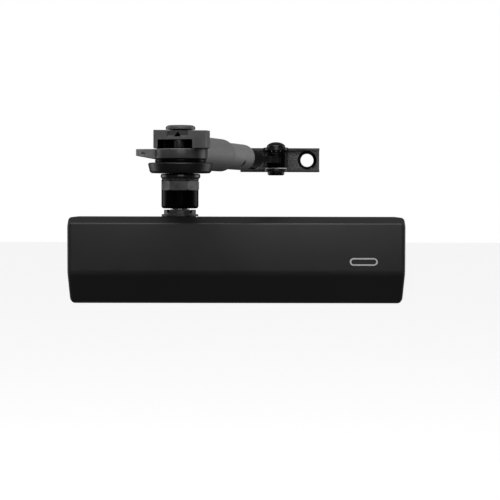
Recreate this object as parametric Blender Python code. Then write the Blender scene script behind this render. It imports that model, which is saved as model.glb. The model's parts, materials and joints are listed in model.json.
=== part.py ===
"""Overhead hydraulic door closer with a regular two-part arm and a hold-open elbow.

The closer hangs on a door by its flat back. +X runs along the body, +Z is up and the body stands out
from the door along -Y. The origin is the centre of the mounting face. Sizes below are millimetres, and
solid() turns them into metres. The arm points out from the door and the forearm folds back to the
bracket on the door frame, as the closer stands when the door is shut.
"""

import math

import bmesh
import bpy
from mathutils import Matrix

MM = 0.001
FINE, COARSE = 28, 16  # sides of a large and a small round piece

# Driving dimensions of the body
COVER_LENGTH, COVER_TOP, COVER_BOTTOM, COVER_DEPTH, COVER_WALL = 237.4, 30.0, -31.8, 48.0, 2.0
BORE_RADIUS, BARREL_RADIUS, BARREL_HALF = 17.0, 20.5, 103.0
AXIS_Y = -22.0  # the cylinder's and the spindle's distance from the door
SPINDLE_X = -40.6
BACK_HALF_LENGTH, FOOT_HALF_LENGTH, FOOT_HALF_HEIGHT, FOOT_THICK = 102.7, 114.0, 26.0, 8.0
FOOT_SCREW_Z = 8.0
SCREW_X, SCREW_Z, SCREW_HOLE_RADIUS = 108.5, 20.0, 3.2
VALVES = {"sweep_valve": -95.0, "latch_valve": -83.0, "backcheck_valve": -71.0}
VALVE_Z = 19.6
SEAT_LEFT, SEAT_THICK, PISTON_RIGHT = 80.0, 6.0, -16.5

# Rack and pinion
MODULE, TEETH, PRESSURE = 1.75, 10, math.radians(28)
PITCH_RADIUS = MODULE * TEETH / 2
ADDENDUM, DEDENDUM, BACKLASH = 1.4, 1.8, 0.3
SPINDLE_TURN = math.pi
TRAVEL = PITCH_RADIUS * SPINDLE_TURN

# Arm
MAIN_ARM_LENGTH, MAIN_ARM_ANGLE = 180.2, math.radians(-87.6)
FOREARM_LENGTH, FOREARM_ANGLE = 199.0, math.radians(72)
FOREARM_Z = 70.7
ELBOW_BOLT_RADIUS, NUT_TURN = 5.8, math.radians(-6.5)
ROD_RADIUS, TUBE_RADIUS, SOCKET_RADIUS = 6.1, 8.6, 10.4
SOCKET_END, TUBE_END, ROD_END = 76.0, 122.0, 150.0
HUB_LOW, BLADE_TOP, HUB_RADIUS = 36.0, 57.7, 13.4
HEAD_LOW, HEAD_TOP = 72.2, 82.9
HEAD_FRONT, HEAD_LEFT, HEAD_RIGHT = -13.6, 12.2, -20.8
WINDOW, WINDOW_TOP = (-12.2, 9.3), 77.4
ROLLER_X, ROLLER_Y = -10.0, -2.9
LOCK_X, LOCK_TURN = 100.0, math.radians(125)
EYE_LOW, EYE_TOP, EYE_RADIUS = FOREARM_Z - 5.6, FOREARM_Z + 6.1, 8.6
GAP = 0.3

# Frame bracket
SHOE_LEFT, SHOE_RIGHT, SHOE_HEIGHT, SHOE_HOLE_SPACING = -25.7, 32.0, 17.4, 40.0
SHOE_Z = FOREARM_Z + 0.6
PIVOT_TO_WALL = 15.0

COLOURS = {
    "cover_plastic": ((0.024, 0.024, 0.025), 0.48, 0.0),
    "cast_aluminium": ((0.42, 0.43, 0.44), 0.55, 0.9),
    "bright_steel": ((0.55, 0.55, 0.56), 0.3, 1.0),
    "black_steel": ((0.022, 0.022, 0.023), 0.42, 0.55),
    "grey_tube": ((0.085, 0.085, 0.088), 0.5, 0.45),
    "bronze": ((0.45, 0.3, 0.13), 0.4, 1.0),
    "rubber": ((0.02, 0.02, 0.02), 0.8, 0.0),
    "nylon": ((0.72, 0.71, 0.68), 0.5, 0.0),
}


def clear_scene():
    for old in list(bpy.data.objects):
        bpy.data.objects.remove(old, do_unlink=True)


def material(name):
    found = bpy.data.materials.get(name)
    if found:
        return found
    colour, roughness, metallic = COLOURS[name]
    made = bpy.data.materials.new(name)
    made.use_nodes = True
    shader = made.node_tree.nodes["Principled BSDF"]
    shader.inputs["Base Color"].default_value = (*colour, 1.0)
    shader.inputs["Roughness"].default_value = roughness
    shader.inputs["Metallic"].default_value = metallic
    return made


def empty(name, x, y, angle=0.0, parent=None):
    """A joint's axis: pieces that turn about it are its children."""
    made = bpy.data.objects.new(name, None)
    made.location = (x * MM, y * MM, 0)
    made.rotation_euler = (0, 0, angle)
    made.parent = parent
    bpy.context.scene.collection.objects.link(made)
    return made


def solid(name, shape, kind, parent=None, origin=(0, 0, 0)):
    """Makes the bmesh, in millimetres, a named object. origin is the object's own origin in the same frame."""
    shape.transform(Matrix.Scale(MM, 4) @ Matrix.Translation([-v for v in origin]))
    shape.normal_update()
    bmesh.ops.recalc_face_normals(shape, faces=shape.faces)
    mesh = bpy.data.meshes.new(name)
    shape.to_mesh(mesh)
    shape.free()
    mesh.shade_smooth()
    mesh.set_sharp_from_angle(angle=math.radians(35))
    made = bpy.data.objects.new(name, mesh)
    made.location = [v * MM for v in origin]
    made.parent = parent
    if kind:
        mesh.materials.append(material(kind))
    bpy.context.scene.collection.objects.link(made)
    return made


def combine(target, shape, operation):
    """Adds a Boolean of shape, in target's own frame, to target."""
    tool_name = f"{target.name}_{operation.lower()}_{len(target.modifiers)}"
    tool = solid(tool_name, shape, None, target.parent)
    tool.location = target.location
    for vertex in tool.data.vertices:
        vertex.co -= target.location
    tool.hide_render = True
    tool.display_type = "WIRE"
    modifier = target.modifiers.new(tool_name, "BOOLEAN")
    modifier.operation = operation
    modifier.solver = "EXACT"
    modifier.object = tool


def cut(target, *shapes):
    for shape in shapes:
        combine(target, shape, "DIFFERENCE")


def join(target, *shapes):
    for shape in shapes:
        combine(target, shape, "UNION")


def turned(profile, steps=FINE):
    """A solid turned about Z. profile is (radius, height) pairs; it is a closed loop unless it starts on the axis."""
    shape = bmesh.new()
    rings = []
    for radius, height in profile:
        if radius < 1e-6:
            rings.append([shape.verts.new((0, 0, height))])
            continue
        angles = [2 * math.pi * k / steps for k in range(steps)]
        rings.append([shape.verts.new((radius * math.cos(a), radius * math.sin(a), height)) for a in angles])
    hollow = len(rings[0]) > 1
    for k in range(len(rings) - (0 if hollow else 1)):
        lower, upper = rings[k], rings[(k + 1) % len(rings)]
        for i in range(steps):
            j = (i + 1) % steps
            corners = [lower[i % len(lower)], lower[j % len(lower)], upper[j % len(upper)], upper[i % len(upper)]]
            shape.faces.new(list(dict.fromkeys(corners)))
    return shape


def disc(radius, low, high, steps=FINE, chamfer=0.0):
    """A cylinder about Z, with its edges chamfered."""
    side = [(radius, low), (radius, high)]
    if chamfer:
        side = [(radius - chamfer, low), (radius, low + chamfer), (radius, high - chamfer), (radius - chamfer, high)]
    return turned([(0, low), *side, (0, high)], steps)


def tube(inner, outer, low, high, steps=FINE):
    return turned([(inner, low), (outer, low), (outer, high), (inner, high)], steps)


def torus(middle, section, height, steps=COARSE, sides=6):
    """A ring of round section about Z."""
    angles = [2 * math.pi * k / sides for k in range(sides)]
    return turned([(middle + section * math.cos(a), height + section * math.sin(a)) for a in angles], steps)


def prism(outline, low, high):
    """The (x, y) outline drawn up along Z."""
    shape = bmesh.new()
    face = shape.faces.new([shape.verts.new((x, y, low)) for x, y in outline])
    top = bmesh.ops.extrude_face_region(shape, geom=[face])["geom"]
    moved = [v for v in top if isinstance(v, bmesh.types.BMVert)]
    bmesh.ops.translate(shape, verts=moved, vec=(0, 0, high - low))
    return shape


def block(low, high):
    (x0, y0, z0), (x1, y1, z1) = low, high
    return prism([(x0, y0), (x1, y0), (x1, y1), (x0, y1)], z0, z1)


def lying_x(shape, x=0.0, y=0.0, z=0.0):
    """A shape made about Z laid along +X and moved there."""
    shape.transform(Matrix.Translation((x, y, z)) @ Matrix.Rotation(math.pi / 2, 4, "Y"))
    return shape


def lying_y(shape, x=0.0, y=0.0, z=0.0):
    """A shape made about Z laid along +Y and moved there."""
    shape.transform(Matrix.Translation((x, y, z)) @ Matrix.Rotation(-math.pi / 2, 4, "X"))
    return shape


def standing(shape, x=0.0, y=0.0, z=0.0):
    shape.transform(Matrix.Translation((x, y, z)))
    return shape


def arc(cx, cy, radius, start, end, steps):
    """Points on a round stretch, from start to end in degrees."""
    angles = [math.radians(start + (end - start) * k / steps) for k in range(steps + 1)]
    return [(cx + radius * math.cos(a), cy + radius * math.sin(a)) for a in angles]


def polygon(sides, across_flats, turn=0.0):
    radius = across_flats / 2 / math.cos(math.pi / sides)
    angles = [turn + 2 * math.pi * (k + 0.5) / sides for k in range(sides)]
    return [(radius * math.cos(a), radius * math.sin(a)) for a in angles]


# ---------------------------------------------------------------- body


def cover_profile(inset):
    """The cover's section as (y, z): a chamfered top edge, an upright face and a long slope underneath."""
    top, bottom, front = COVER_TOP, COVER_BOTTOM, -COVER_DEPTH
    outer = [
        (-0.5, top),
        (front + 6.2, top),
        (front + 2.6, top - 1.6),
        (front, top - 4.6),
        (front + 0.4, -8.3),
        (front + 1.8, -11.6),
        (front + 16.6, bottom + 2.4),
        (front + 18.8, bottom + 0.6),
        (front + 21.4, bottom),
        (-0.5, bottom),
    ]
    half_depth, half_height = COVER_DEPTH / 2, (top - bottom) / 2
    middle_z = (top + bottom) / 2
    scale_y, scale_z = 1 - inset / half_depth, 1 - inset / half_height
    return [(-half_depth + (y + half_depth) * scale_y, middle_z + (z - middle_z) * scale_z) for y, z in outer]


def cover_block(wall, back):
    """The cover's outer shape, or with a wall its hollow, which runs out of the open back."""
    half = COVER_LENGTH / 2 - wall
    rounding = 3.2
    steps = [math.radians(90 * k / 3) for k in range(4)]
    ends = [(half - rounding + rounding * math.sin(a), rounding * (1 - math.cos(a))) for a in steps]
    sections = [(-x, inset) for x, inset in reversed(ends)] + ends
    shape = bmesh.new()
    loops = []
    for x, inset in sections:
        loop = []
        for y, z in cover_profile(wall + inset):
            loop.append(shape.verts.new((x, back if y > -4.0 - wall - rounding else y, z)))
        loops.append(loop)
    for near, far in zip(loops, loops[1:]):
        count = len(near)
        for i in range(count):
            shape.faces.new([near[i], near[(i + 1) % count], far[(i + 1) % count], far[i]])
    shape.faces.new(loops[0])
    shape.faces.new(loops[-1])
    return shape


def make_cover():
    """A moulded shell, open at the back, with a slot that lets it slide forward off the spindle gland."""
    cover = solid("cover", cover_block(0.0, -0.5), "cover_plastic")
    slot_radius = 12.4
    slot = [(SPINDLE_X + slot_radius, 5.0), (SPINDLE_X - slot_radius, 5.0)]
    slot += arc(SPINDLE_X, AXIS_Y, slot_radius, 180, 360, 12)
    cut(cover, cover_block(COVER_WALL, 5.0), prism(slot, 20.0, 35.0))


def make_casting():
    """The cast body: cylinder barrel, flat back, spindle boss and valve gallery."""
    barrel = lying_x(disc(BARREL_RADIUS, -BARREL_HALF, BARREL_HALF, FINE, 1.0), 0, AXIS_Y)
    casting = solid("body_casting", barrel, "cast_aluminium")
    half, height = BACK_HALF_LENGTH, FOOT_HALF_HEIGHT
    back = block((-half, -FOOT_THICK, -height), (half, 0.0, height))
    boss_profile = [(0, -23.4), (10.6, -23.4), (10.6, -18.5), (15.0, -15.8), (15.0, 26.6), (14.2, 27.4), (0, 27.4)]
    boss = standing(turned(boss_profile), SPINDLE_X, AXIS_Y)
    gallery = block((-102.0, -43.0, 9.0), (-64.0, -24.0, 23.5))
    join(casting, back, boss, gallery)
    bore = lying_x(disc(BORE_RADIUS, -BARREL_HALF - 5, BARREL_HALF + 5), 0, AXIS_Y)
    upper_bore = standing(disc(10.9, 0.0, 35.0), SPINDLE_X, AXIS_Y)
    lower_bore = standing(disc(8.3, -35.0, 0.0), SPINDLE_X, AXIS_Y)
    cut(casting, bore, upper_bore, lower_bore)
    for sx in (-1, 1):
        for sz in (-1, 1):
            inner, outer = sorted((sx * 88.0, sx * 110.0))
            cut(casting, lying_x(disc(2.0, inner, outer, COARSE), 0, -FOOT_THICK / 2, sz * FOOT_SCREW_Z))
    for x in VALVES.values():
        cut(casting, lying_y(disc(3.3, -50.0, -29.0, COARSE), x, 0, VALVE_Z))


def make_feet():
    """A steel mounting foot at each end of the casting, with two holes to the door, held by two small screws."""
    corner, middle_y = 5.0, -FOOT_THICK / 2
    near, far, height = BACK_HALF_LENGTH + GAP, FOOT_HALF_LENGTH, FOOT_HALF_HEIGHT
    for side, sx in (("left", -1), ("right", 1)):
        outline = [(near, -height), *arc(far - corner, corner - height, corner, -90, 0, 4)]
        outline += [*arc(far - corner, height - corner, corner, 0, 90, 4), (near, height)]
        plate = prism([(sx * x, -z) for x, z in outline], -FOOT_THICK, 0.0)
        foot = solid(f"{side}_foot", lying_y(plate), "black_steel")
        for level, sz in (("upper", 1), ("lower", -1)):
            cut(foot, lying_y(disc(SCREW_HOLE_RADIUS, -15.0, 5.0, COARSE), sx * SCREW_X, 0, sz * SCREW_Z))
            place = Matrix.Translation((0, middle_y, sz * FOOT_SCREW_Z)) @ Matrix.Rotation(sx * math.pi / 2, 4, "Y")
            sink = turned([(0, 95.0), (2.0, 95.0), (2.0, 110.4), (3.1, 110.5), (3.1, 120.0), (0, 120.0)], COARSE)
            sink.transform(place)
            cut(foot, sink)
            screw = turned([(0, 90.0), (1.7, 90.4), (1.7, 110.8), (2.8, 110.9), (2.8, 113.6), (0, 113.6)], COARSE)
            screw.transform(place)
            made = solid(f"{side}_foot_screw_{level}", screw, "bright_steel")
            key = prism(polygon(6, 2.5), 112.2, 116.0)
            key.transform(place)
            cut(made, key)


def make_valves():
    """Three slotted needle screws that meter the oil, each with its O-ring, in the gallery behind the cover."""
    for name, x in VALVES.items():
        needle = [(0, -42.6), (2.5, -42.6), (2.8, -42.2), (2.8, -38.4), (1.9, -38.2), (1.9, -36.8), (2.8, -36.6)]
        needle += [(2.8, -33.5), (1.4, -32.6), (0, -30.0)]
        screw = solid(name, lying_y(turned(needle, COARSE), x, 0, VALVE_Z), "bright_steel", None, (x, 0, VALVE_Z))
        cut(screw, block((x - 3.5, -43.5, VALVE_Z - 0.45), (x + 3.5, -41.5, VALVE_Z + 0.45)))
        solid(f"{name}_o_ring", lying_y(torus(2.6, 0.5, -37.5, 16), x, 0, VALVE_Z), "rubber")


def make_end_plugs():
    """Screwed plugs that close the cylinder, each with an O-ring. The right one carries the power adjuster."""
    groove = [(16.6, -6.9), (14.4, -6.8), (14.4, -4.2), (16.6, -4.1)]
    left = [(0, -10.5), (16.0, -10.5), (16.6, -9.9), *groove, (16.6, 0), (0, 0)]
    plug = solid("left_end_plug", lying_x(turned(left), -BARREL_HALF + 11.3, AXIS_Y), "bright_steel")
    cut(plug, lying_x(prism(polygon(6, 12.0), -20.0, -4.5), -BARREL_HALF + 11.3, AXIS_Y))
    inner = 4.4
    right = [(inner, 0), *[(r, z + 11.0) for r, z in groove], (16.6, 10.4), (16.0, 11.0), (inner, 11.0)]
    right.insert(1, (16.6, 0))
    solid("right_end_plug", lying_x(turned(right), BARREL_HALF - 11.3, AXIS_Y), "bright_steel")
    for name, x in (("left_plug_o_ring", -BARREL_HALF + 5.8), ("right_plug_o_ring", BARREL_HALF - 5.8)):
        solid(name, lying_x(torus(15.75, 0.95, 0.0, FINE), x, AXIS_Y), "rubber")


def make_power_adjuster():
    """A screw through the right plug turns without moving along, and draws the spring seat towards the piston."""
    head = [(0, 107.5), (4.4, 107.5), (5.0, 106.9), (5.0, 103.6), (4.0, 103.4)]
    shaft = [(4.0, 90.3), (7.0, 90.2), (7.0, 88.4), (4.0, 88.2), (4.0, 63.6), (3.4, 63.0), (0, 63.0)]
    screw = solid(
        "power_adjusting_screw", lying_x(turned(head + shaft, COARSE), 0, AXIS_Y), "bright_steel", None, (0, AXIS_Y, 0)
    )
    cut(screw, lying_x(prism(polygon(6, 5.0), 104.6, 110.0), 0, AXIS_Y))
    seat = [(4.4, -3.0), (10.0, -3.0), (10.4, -2.6), (10.4, 0), (16.0, 0), (16.0, SEAT_THICK), (4.4, SEAT_THICK)]
    solid("spring_seat", lying_x(turned(seat), SEAT_LEFT, AXIS_Y), "bright_steel", None, (0, AXIS_Y, 0))


def make_closing_spring():
    """A coil between the piston and the seat, with a level turn at each end."""
    wire, middle, turns, per_turn, sides = 1.9, 13.3, 9, 14, 6
    closed_lift = 2.2 * wire  # how far a closed end turn climbs
    start, end = PISTON_RIGHT + GAP + wire, SEAT_LEFT - GAP - wire
    open_rise = (end - start - 2 * closed_lift) / (turns - 2)
    shape = bmesh.new()
    loops = []
    for k in range(turns * per_turn + 1):
        turn = k / per_turn
        closed_turns = min(turn, 1.0) + max(turn - turns + 1, 0.0)
        open_turns = min(max(turn - 1.0, 0.0), turns - 2)
        x = start + closed_lift * closed_turns + open_rise * open_turns
        around = 2 * math.pi * turn
        loop = []
        for s in range(sides):
            a = 2 * math.pi * s / sides
            radius = middle + wire * math.cos(a)
            point = (x + wire * math.sin(a), AXIS_Y + radius * math.cos(around), radius * math.sin(around))
            loop.append(shape.verts.new(point))
        loops.append(loop)
    for near, far in zip(loops, loops[1:]):
        for i in range(sides):
            j = (i + 1) % sides
            shape.faces.new([near[i], near[j], far[j], far[i]])
    shape.faces.new(loops[0])
    shape.faces.new(loops[-1])
    solid("closing_spring", shape, "bright_steel")


# ---------------------------------------------------------------- rack and pinion


def rack_outline(left, right, back):
    """The window's outline in (x, y): its front edge is the rack, whose teeth stand towards the pinion."""
    pitch_y = AXIS_Y - PITCH_RADIUS
    half = math.pi * MODULE / 4 - BACKLASH / 2
    lean = math.tan(PRESSURE)
    points = [(left, back), (left, pitch_y - DEDENDUM)]
    for k in range(-6, 2):
        centre = SPINDLE_X + k * math.pi * MODULE
        root, tip = half + DEDENDUM * lean, half - ADDENDUM * lean
        points += [(centre - root, pitch_y - DEDENDUM), (centre - tip, pitch_y + ADDENDUM)]
        points += [(centre + tip, pitch_y + ADDENDUM), (centre + root, pitch_y - DEDENDUM)]
    return points + [(right, pitch_y - DEDENDUM), (right, back)]


def make_piston():
    """A plunger with a window for the pinion, a rack along the window's front and a check valve in its head."""
    reach = PITCH_RADIUS + ADDENDUM + 1.4
    window_left, window_right = SPINDLE_X - reach - TRAVEL, SPINDLE_X + reach
    left = window_left - 9.0
    barrel = lying_x(disc(16.6, left, PISTON_RIGHT, FINE, 0.6), 0, AXIS_Y)
    piston = solid("piston", barrel, "bright_steel", None, (0, AXIS_Y, 0))
    window = prism(rack_outline(window_left, window_right, AXIS_Y + 11.6), -20.0, 20.0)
    seat_x = PISTON_RIGHT - 4.2
    port = [(0, window_right - 2.0), (1.6, window_right - 2.0), (1.6, seat_x - 5.9), (3.3, seat_x - 5.9)]
    port += [(3.3, PISTON_RIGHT + 2.0), (0, PISTON_RIGHT + 2.0)]
    cut(piston, window, lying_x(turned(port, COARSE), 0, AXIS_Y))
    solid("check_valve_seat", lying_x(tube(1.4, 3.0, 0, 3.6, COARSE), seat_x, AXIS_Y), "bronze")
    ball = [(2.3 * math.sin(a), 2.3 * math.cos(a)) for a in [math.pi * k / 6 for k in range(7)]]
    ball[0], ball[-1] = (0, 2.3), (0, -2.3)
    solid("check_valve_ball", lying_x(turned(ball, 12), seat_x - 2.6, AXIS_Y), "bright_steel")


def pinion_outline(phase):
    """Involute teeth about the origin. phase is the angle of a space between two teeth."""
    base = PITCH_RADIUS * math.cos(PRESSURE)
    tip, root = PITCH_RADIUS + ADDENDUM, PITCH_RADIUS - DEDENDUM
    half = (math.pi * MODULE / 2 - BACKLASH) / 2 / PITCH_RADIUS + math.tan(PRESSURE) - PRESSURE
    flank = []
    for k in range(5):
        radius = base + (tip - base) * k / 4
        roll = math.acos(min(1.0, base / radius))
        flank.append((radius, half - (math.tan(roll) - roll)))
    points = []
    for tooth in range(TEETH):
        centre = phase + 2 * math.pi * (tooth + 0.5) / TEETH
        side = [(root, half)] + flank
        both = [(r, centre - a) for r, a in side] + [(r, centre + a) for r, a in reversed(side)]
        points += [(r * math.cos(a), r * math.sin(a)) for r, a in both]
    return points


def make_spindle(arm):
    """Pinion, journals and the squared end that carries the arm, in one piece."""
    shaft = turned(
        [
            (0, -21.0), (4.6, -21.0), (5.0, -20.6), (5.0, -17.2), (6.8, -17.1), (6.8, 35.7), (4.0, 35.7),
            (4.0, 40.0), (0, 40.0),
        ],
        FINE,
    )
    spindle = solid("pinion_spindle", shaft, "bright_steel", arm)
    square = prism(polygon(4, 11.0), 35.4, 53.6)
    join(spindle, prism(pinion_outline(-math.pi / 2 - MAIN_ARM_ANGLE), -9.0, 9.0), square)
    cut(spindle, disc(3.3, 42.0, 60.0, COARSE))


def make_spindle_housing():
    """Bearings, seals, gland nut and lower cap around the spindle, all fixed in the body."""

    def around(name, shape, kind):
        solid(name, standing(shape, SPINDLE_X, AXIS_Y), kind)

    around("upper_bearing", tube(7.1, 10.6, 17.4, 22.4), "bronze")
    around("lower_bearing", tube(5.3, 8.0, -20.7, -17.4), "bronze")
    seal = [(7.1, 22.7), (10.6, 22.7), (10.6, 25.6), (9.4, 25.6), (9.0, 24.0), (8.2, 24.0), (7.8, 25.6), (7.1, 25.6)]
    around("spindle_seal", turned(seal), "rubber")
    around("lower_cap_o_ring", torus(7.55, 0.5, -22.65, FINE), "rubber")
    cap = [(0, -24.8), (7.4, -24.8), (8.0, -24.2), (8.0, -23.3), (6.8, -23.25), (6.8, -22.05), (8.0, -22.0)]
    cap += [(8.0, -21.3), (0, -21.3)]
    around("lower_bearing_cap", turned(cap), "bright_steel")
    gland = [(7.1, 25.9), (10.6, 25.9), (10.6, 27.6), (11.4, 27.8), (11.4, 34.6), (10.8, 35.1), (7.1, 35.1)]
    nut = solid("gland_nut", standing(turned(gland), SPINDLE_X, AXIS_Y), "black_steel", None, (SPINDLE_X, AXIS_Y, 0))
    for k in range(4):
        notch = block((8.9, -1.3, 32.8), (13.0, 1.3, 37.0))
        turn = Matrix.Rotation(math.radians(45 + 90 * k), 4, "Z")
        notch.transform(Matrix.Translation((SPINDLE_X, AXIS_Y, 0)) @ turn)
        cut(nut, notch)
    around("gland_ring", turned([(11.7, 30.3), (13.1, 30.3), (13.1, 31.4), (12.6, 31.9), (11.7, 31.9)]), "black_steel")


# ---------------------------------------------------------------- arm


def blade_outline(half_hub, half_eye, start, end):
    """A tapering blade along +X with a round end about the elbow."""
    return [(start, -half_hub), (end, -half_eye), *arc(end, 0, half_eye, -90, 90, 10)[1:], (start, half_hub)]


def make_main_arm(arm):
    """A forged arm: a deep hub with a square socket, a flat blade and a thinned eye at the elbow."""
    hub = [(0, HUB_LOW), (HUB_RADIUS - 1.2, HUB_LOW), (HUB_RADIUS, HUB_LOW + 1.2), (HUB_RADIUS, BLADE_TOP - 1.0)]
    hub += [(HUB_RADIUS - 1.0, BLADE_TOP), (0, BLADE_TOP)]
    forging = solid("main_arm", turned(hub), "black_steel", arm)
    upper = prism(blade_outline(11.0, 11.8, 2.0, MAIN_ARM_LENGTH), 54.9, BLADE_TOP - 0.05)
    lower = prism(blade_outline(10.0, 8.0, 2.0, MAIN_ARM_LENGTH - 22.0), 50.8, 55.4)
    join(forging, upper, lower)
    socket = prism(polygon(4, 11.6), 30.0, 60.0)
    eye = standing(disc(ELBOW_BOLT_RADIUS + GAP, 50.0, 60.0, COARSE), MAIN_ARM_LENGTH)
    cut(forging, socket, disc(9.4, 54.0, 60.0), eye)
    washer = turned([(4.0, 54.3), (8.6, 54.3), (8.8, 54.6), (8.8, 55.4), (4.0, 55.4)])
    solid("arm_screw_washer", washer, "black_steel", arm)
    screw = [(0, 59.4), (5.2, 59.4), (6.2, 58.6), (6.2, 55.8), (3.0, 55.7), (3.0, 44.0), (0, 44.0)]
    arm_screw = solid("arm_screw", turned(screw, COARSE), "black_steel", arm)
    cut(arm_screw, prism(polygon(6, 5.0), 57.2, 62.0))


def make_elbow(arm):
    """What the elbow bolt clamps on the main arm, from the nut below to the bolt's head on top."""

    def stacked(name, shape, kind):
        return solid(name, standing(shape, MAIN_ARM_LENGTH), kind, arm, (MAIN_ARM_LENGTH, 0, 0))

    hole = ELBOW_BOLT_RADIUS + GAP
    nut = stacked("elbow_nut", prism(polygon(6, 19.0, NUT_TURN), 48.0, 53.5), "black_steel")
    rounder = [(0, 47.9), (9.3, 47.9), (11.3, 49.1), (11.3, 52.4), (9.3, 53.6), (0, 53.6)]
    combine(nut, standing(turned(rounder), MAIN_ARM_LENGTH), "INTERSECT")
    cut(nut, standing(disc(hole, 40.0, 60.0, COARSE), MAIN_ARM_LENGTH))
    stacked("elbow_spring_washer", turned([(hole, 53.8), (9.8, 53.8), (10.9, 54.2), (10.9, 54.6), (hole, 54.6)]), "black_steel")
    index = [(hole, 58.0), (17.4, 58.0), (18.0, 58.6), (19.1, 63.4), (18.6, 64.0), (hole, 64.0)]
    stacked("index_disc", turned(index), "black_steel")
    stacked("friction_washer", tube(hole, 15.0, 64.3, 66.0), "black_steel")
    bolt = [(0, 86.0), (7.2, 86.0), (8.7, 84.9), (8.7, 83.6), (ELBOW_BOLT_RADIUS, 83.5)]
    bolt += [(ELBOW_BOLT_RADIUS, 49.1), (ELBOW_BOLT_RADIUS - 0.8, 48.3), (0, 48.3)]
    stacked("elbow_bolt", turned(bolt, 24), "black_steel")


def make_cam_plate(arm):
    """The detent plate under the forearm head, with the finger tab that sets the hold-open angle."""
    tab_angle = math.degrees(math.pi - MAIN_ARM_ANGLE) - 360.0 - 4.0
    turn = Matrix.Rotation(math.radians(tab_angle), 4, "Z")
    radius, tab = 15.6, 26.4
    outline = [(tab - 1.6, -6.0), (tab, -3.5), (tab, 3.6), (tab - 1.2, 5.0), *arc(0, 0, radius, 22, 337, 26)]
    shape = prism(outline, 66.3, 71.9)
    shape.transform(Matrix.Translation((MAIN_ARM_LENGTH, 0, 0)) @ turn)
    plate = solid("hold_open_plate", shape, "black_steel", arm, (MAIN_ARM_LENGTH, 0, 0))
    slope = prism([(15.0, 66.0), (29.0, 66.0), (29.0, 67.6)], -8.0, 8.0)
    at_elbow = Matrix.Translation((MAIN_ARM_LENGTH, 0, 0))
    slope.transform(at_elbow @ turn @ Matrix.Rotation(math.pi / 2, 4, "X"))
    cut(plate, slope, standing(disc(ELBOW_BOLT_RADIUS + GAP, 60.0, 80.0, COARSE), MAIN_ARM_LENGTH))


def make_forearm(forearm):
    """The forged head over the elbow with its socket, the tube in the socket, the lock screw and the roller."""
    head_outline = [
        (HEAD_FRONT, HEAD_RIGHT), (HEAD_FRONT + 6.5, HEAD_RIGHT), (19.0, -9.5), (26.0, -9.0), (26.0, 9.0),
        (19.0, 9.5), (8.0, HEAD_LEFT), (HEAD_FRONT, HEAD_LEFT),
    ]
    head = solid("forearm_head", prism(head_outline, HEAD_LOW, HEAD_TOP), "grey_tube", forearm)
    top = prism([(-30.0, HEAD_TOP - 1.9), (30.0, HEAD_TOP + 0.3), (30.0, 95.0), (-30.0, 95.0)], -25.0, 40.0)
    top.transform(Matrix.Rotation(math.pi / 2, 4, "Z") @ Matrix.Rotation(math.pi / 2, 4, "X"))
    socket = [(0, 19.9), (SOCKET_RADIUS - 0.8, 19.9), (SOCKET_RADIUS, 20.7), (SOCKET_RADIUS, SOCKET_END - 3.0)]
    socket += [(SOCKET_RADIUS - 0.4, SOCKET_END - 1.2), (SOCKET_RADIUS - 1.4, SOCKET_END), (0, SOCKET_END)]
    join(head, lying_x(turned(socket), 0, 0, FOREARM_Z))
    window = block((-20.0, WINDOW[0], HEAD_LOW - 3.0), (-4.4, WINDOW[1], WINDOW_TOP))
    notch = block((-20.0, -5.7, WINDOW_TOP + 1.1), (0.0, 5.7, 95.0))
    pin_hole = standing(disc(1.4, 70.0, 80.3, 12), ROLLER_X, ROLLER_Y)
    bolt_hole = disc(ELBOW_BOLT_RADIUS + GAP, 60.0, 95.0, COARSE)
    tube_bore = lying_x(disc(TUBE_RADIUS + 0.3, 38.0, SOCKET_END + 5.0), 0, 0, FOREARM_Z)
    cut(head, top, window, notch, pin_hole, bolt_hole, tube_bore)
    outer = [(ROD_RADIUS + GAP, TUBE_END), (TUBE_RADIUS - 1.5, TUBE_END), (TUBE_RADIUS - 0.5, TUBE_END - 1.0)]
    outer += [(TUBE_RADIUS, TUBE_END - 2.6), (TUBE_RADIUS, 38.8), (ROD_RADIUS + GAP, 38.8)]
    sleeve = solid("forearm_tube", lying_x(turned(outer), 0, 0, FOREARM_Z), "grey_tube", forearm)
    place = Matrix.Translation((LOCK_X, 0, FOREARM_Z)) @ Matrix.Rotation(LOCK_TURN, 4, "X")
    hole = disc(2.7, 4.0, 12.0, COARSE)
    hole.transform(place)
    cut(sleeve, hole)
    lock = disc(2.4, ROD_RADIUS + GAP, TUBE_RADIUS - 0.2, COARSE, 0.25)
    lock.transform(place)
    solid("length_lock_screw", lock, "black_steel", forearm, (LOCK_X, 0, FOREARM_Z))
    wheel = standing(tube(1.5, 3.2, HEAD_LOW + 0.2, WINDOW_TOP - GAP, COARSE), ROLLER_X, ROLLER_Y)
    solid("detent_roller", wheel, "bright_steel", forearm, (ROLLER_X, ROLLER_Y, 0))
    pin = standing(disc(1.1, HEAD_LOW + 0.2, WINDOW_TOP + 1.6, 12), ROLLER_X, ROLLER_Y)
    solid("roller_pin", pin, "bright_steel", forearm)


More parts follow.
